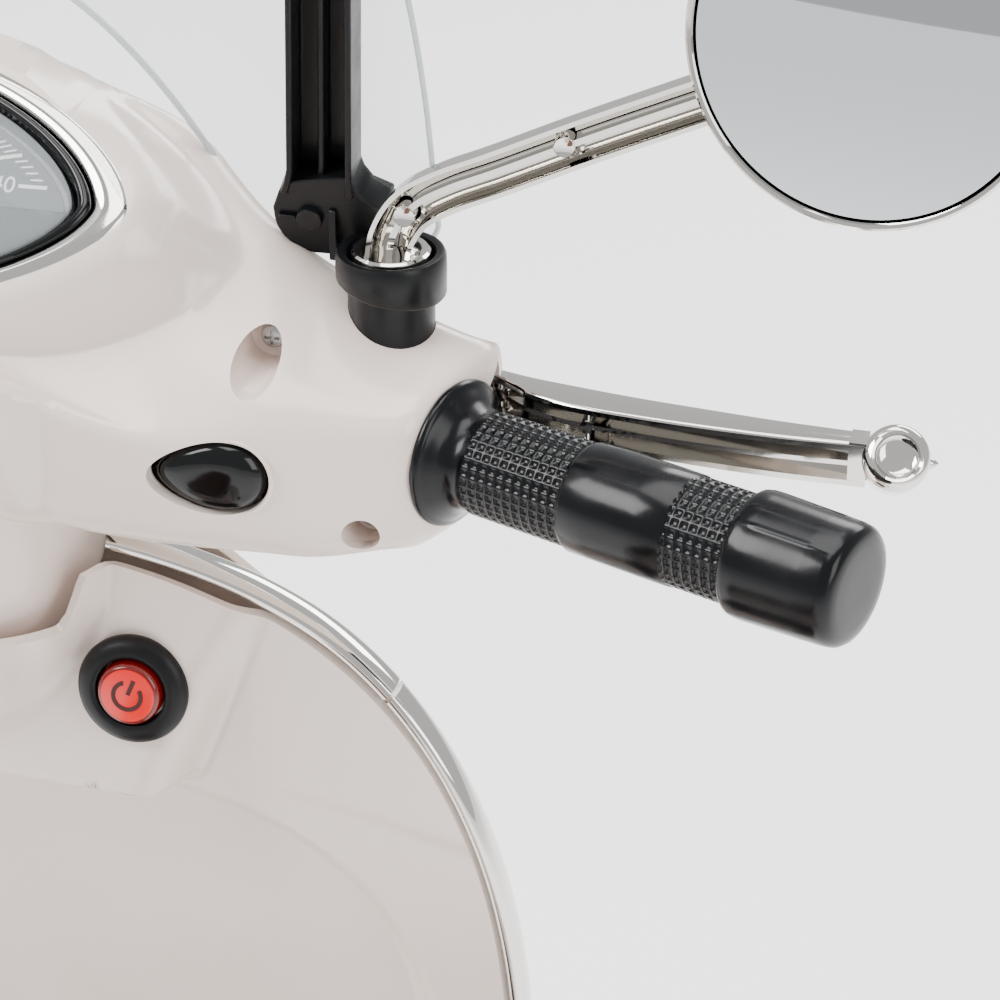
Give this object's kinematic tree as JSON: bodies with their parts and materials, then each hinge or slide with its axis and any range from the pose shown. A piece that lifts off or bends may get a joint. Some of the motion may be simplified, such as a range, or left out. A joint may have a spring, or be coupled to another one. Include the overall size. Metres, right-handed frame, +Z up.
{
  "type": "moped scooter",
  "caption": "Child's battery ride-on moped scooter with headset, grips, brake levers, mirrors, windscreen, leg shield, sprung seat lid, cowls and stabilisers.",
  "frame": {"origin": "on the ground, under the middle of the overall box", "axes": "+X to the rider's right, +Y forward, +Z up"},
  "size_m": [0.5894, 1.066, 0.88],
  "materials": {
    "ivory_abs": "glossy warm ivory injection-moulded ABS",
    "black_abs": "satin black ABS",
    "gloss_black": "glossy black ABS",
    "grip_pvc": "glossy soft black PVC",
    "chrome_plastic": "chrome-plated ABS",
    "mirror_film": "mirror film on acrylic",
    "clear_acrylic": "clear polished acrylic sheet",
    "red_lens": "translucent red acrylic",
    "switch_red": "translucent red switch button",
    "dial": "black dial case with printed dial",
    "steel": "black powder-coated steel tube",
    "zinc": "zinc-plated steel",
    "tyre": "black EVA foam and rubber tread",
    "rim": "silver-painted polypropylene wheel",
    "nylon": "natural nylon",
    "seat_vinyl": "brown vinyl over foam",
    "mat_rubber": "ribbed black rubber",
    "battery_case": "dark grey ABS battery case",
    "motor_can": "plated motor can"
  },
  "bodies": {
    "chassis": {"frame": "steel", "steering_bushes": "nylon", "floor_tray": "ivory_abs", "floor_mat": "mat_rubber", "leg_shield_inner": "ivory_abs", "leg_shield_front": "ivory_abs", "trim_upper": "chrome_plastic", "trim_lower": "chrome_plastic", "tail_body": "ivory_abs", "cowl_right": "ivory_abs", "cowl_left": "ivory_abs", "tail_lamp": "red_lens", "plate_holder": "black_abs", "battery": "battery_case", "gearbox_case": "black_abs", "motor": "motor_can", "rear_axle": "zinc", "stabiliser_brackets": "steel", "seat_hinge_pin": "zinc", "pedal_housing": "black_abs", "switch_bezel": "black_abs"},
    "steering": {"steering_stem": "zinc", "handlebar_tube": "zinc", "headset_rear": "ivory_abs", "headset_front": "ivory_abs", "neck_cover": "ivory_abs", "headset_screws": "zinc", "speedo_surround": "chrome_plastic", "speedo_case": "dial", "speedo_lens": "clear_acrylic", "headlamp_rim": "chrome_plastic", "headlamp_lens": "clear_acrylic", "windscreen": "clear_acrylic", "screen_brackets": "gloss_black", "mirror_sockets": "black_abs", "grip_right": "grip_pvc", "grip_left": "grip_pvc", "fork": "steel", "front_mudguard": "ivory_abs", "front_axle": "zinc"},
    "front_wheel": {"front_tyre": "tyre", "front_rim": "rim"},
    "rear_wheel": {"rear_tyre": "tyre", "rear_rim": "rim", "drive_gear": "nylon"},
    "stabiliser_right": {"stabiliser_wheel_right": "black_abs"},
    "stabiliser_left": {"stabiliser_wheel_left": "black_abs"},
    "lever_right": {"brake_lever_right": "chrome_plastic"},
    "lever_left": {"brake_lever_left": "chrome_plastic"},
    "mirror_right": {"mirror_arm_right": "chrome_plastic", "mirror_glass_right": "mirror_film"},
    "mirror_left": {"mirror_arm_left": "chrome_plastic", "mirror_glass_left": "mirror_film"},
    "horn": {"horn_button": "gloss_black"},
    "music": {"music_button": "gloss_black"},
    "power": {"power_button": "switch_red"},
    "seat": {"seat_base": "black_abs", "seat_cushion": "seat_vinyl"},
    "accelerator": {"pedal": "black_abs"},
    "pinion": {"motor_pinion": "zinc"}
  },
  "joints": [
    {"name": "steering_turn", "type": "hinge", "parent": "chassis", "child": "steering", "pos_m": [0, 0.185, 0.65], "axis": [0, -0.3584, 0.9336], "range_deg": [-25, 25]},
    {"name": "front_wheel_spin", "type": "hinge", "parent": "steering", "child": "front_wheel", "pos_m": [0, 0.412, 0.12], "axis": [1, 0, 0], "continuous": true},
    {"name": "rear_wheel_spin", "type": "hinge", "parent": "chassis", "child": "rear_wheel", "pos_m": [0, -0.352, 0.12], "axis": [1, 0, 0], "continuous": true},
    {"name": "stabiliser_right_spin", "type": "hinge", "parent": "chassis", "child": "stabiliser_right", "pos_m": [0.165, -0.3, 0.05], "axis": [1, 0, 0], "continuous": true},
    {"name": "stabiliser_left_spin", "type": "hinge", "parent": "chassis", "child": "stabiliser_left", "pos_m": [-0.165, -0.3, 0.05], "axis": [1, 0, 0], "continuous": true},
    {"name": "brake_lever_right_pull", "type": "hinge", "parent": "steering", "child": "lever_right", "pos_m": [0.1425, 0.203, 0.655], "axis": [0, 0, -1], "range_deg": [0, 8], "stiffness_Nm_per_rad": 0.6, "springref_deg": -14.32},
    {"name": "brake_lever_left_pull", "type": "hinge", "parent": "steering", "child": "lever_left", "pos_m": [-0.1425, 0.203, 0.655], "axis": [0, 0, 1], "range_deg": [0, 8], "stiffness_Nm_per_rad": 0.6, "springref_deg": -14.32},
    {"name": "mirror_right_swivel", "type": "hinge", "parent": "steering", "child": "mirror_right", "pos_m": [0.132, 0.186, 0.69], "axis": [0, 0, -1], "range_deg": [-10, 45]},
    {"name": "mirror_left_swivel", "type": "hinge", "parent": "steering", "child": "mirror_left", "pos_m": [-0.132, 0.186, 0.69], "axis": [0, 0, 1], "range_deg": [-10, 45]},
    {"name": "horn_press", "type": "slide", "parent": "steering", "child": "horn", "axis": [0, 1, 0], "range_m": [0, 0.002], "stiffness_N_per_m": 300, "springref_m": -0.001},
    {"name": "music_press", "type": "slide", "parent": "steering", "child": "music", "axis": [0, 1, 0], "range_m": [0, 0.002], "stiffness_N_per_m": 300, "springref_m": -0.001},
    {"name": "power_press", "type": "slide", "parent": "chassis", "child": "power", "axis": [0, 0.986, -0.1668], "range_m": [0, 0.0025], "stiffness_N_per_m": 300, "springref_m": -0.001},
    {"name": "seat_lift", "type": "hinge", "parent": "chassis", "child": "seat", "pos_m": [0, -0.046, 0.424], "axis": [-1, 0, 0], "range_deg": [0, 70]},
    {"name": "pedal_press", "type": "hinge", "parent": "chassis", "child": "accelerator", "pos_m": [0.08, 0.186, 0.16], "axis": [-1, 0, 0], "range_deg": [0, 6], "stiffness_Nm_per_rad": 0.8, "springref_deg": -11.46},
    {"name": "pinion_spin", "type": "hinge", "parent": "chassis", "child": "pinion", "pos_m": [-0.04, -0.2954, 0.1406], "axis": [1, 0, 0], "continuous": true}
  ],
  "couplings": [
    {"joint": "pinion_spin", "follows": "rear_wheel_spin", "ratio": -4}
  ]
}
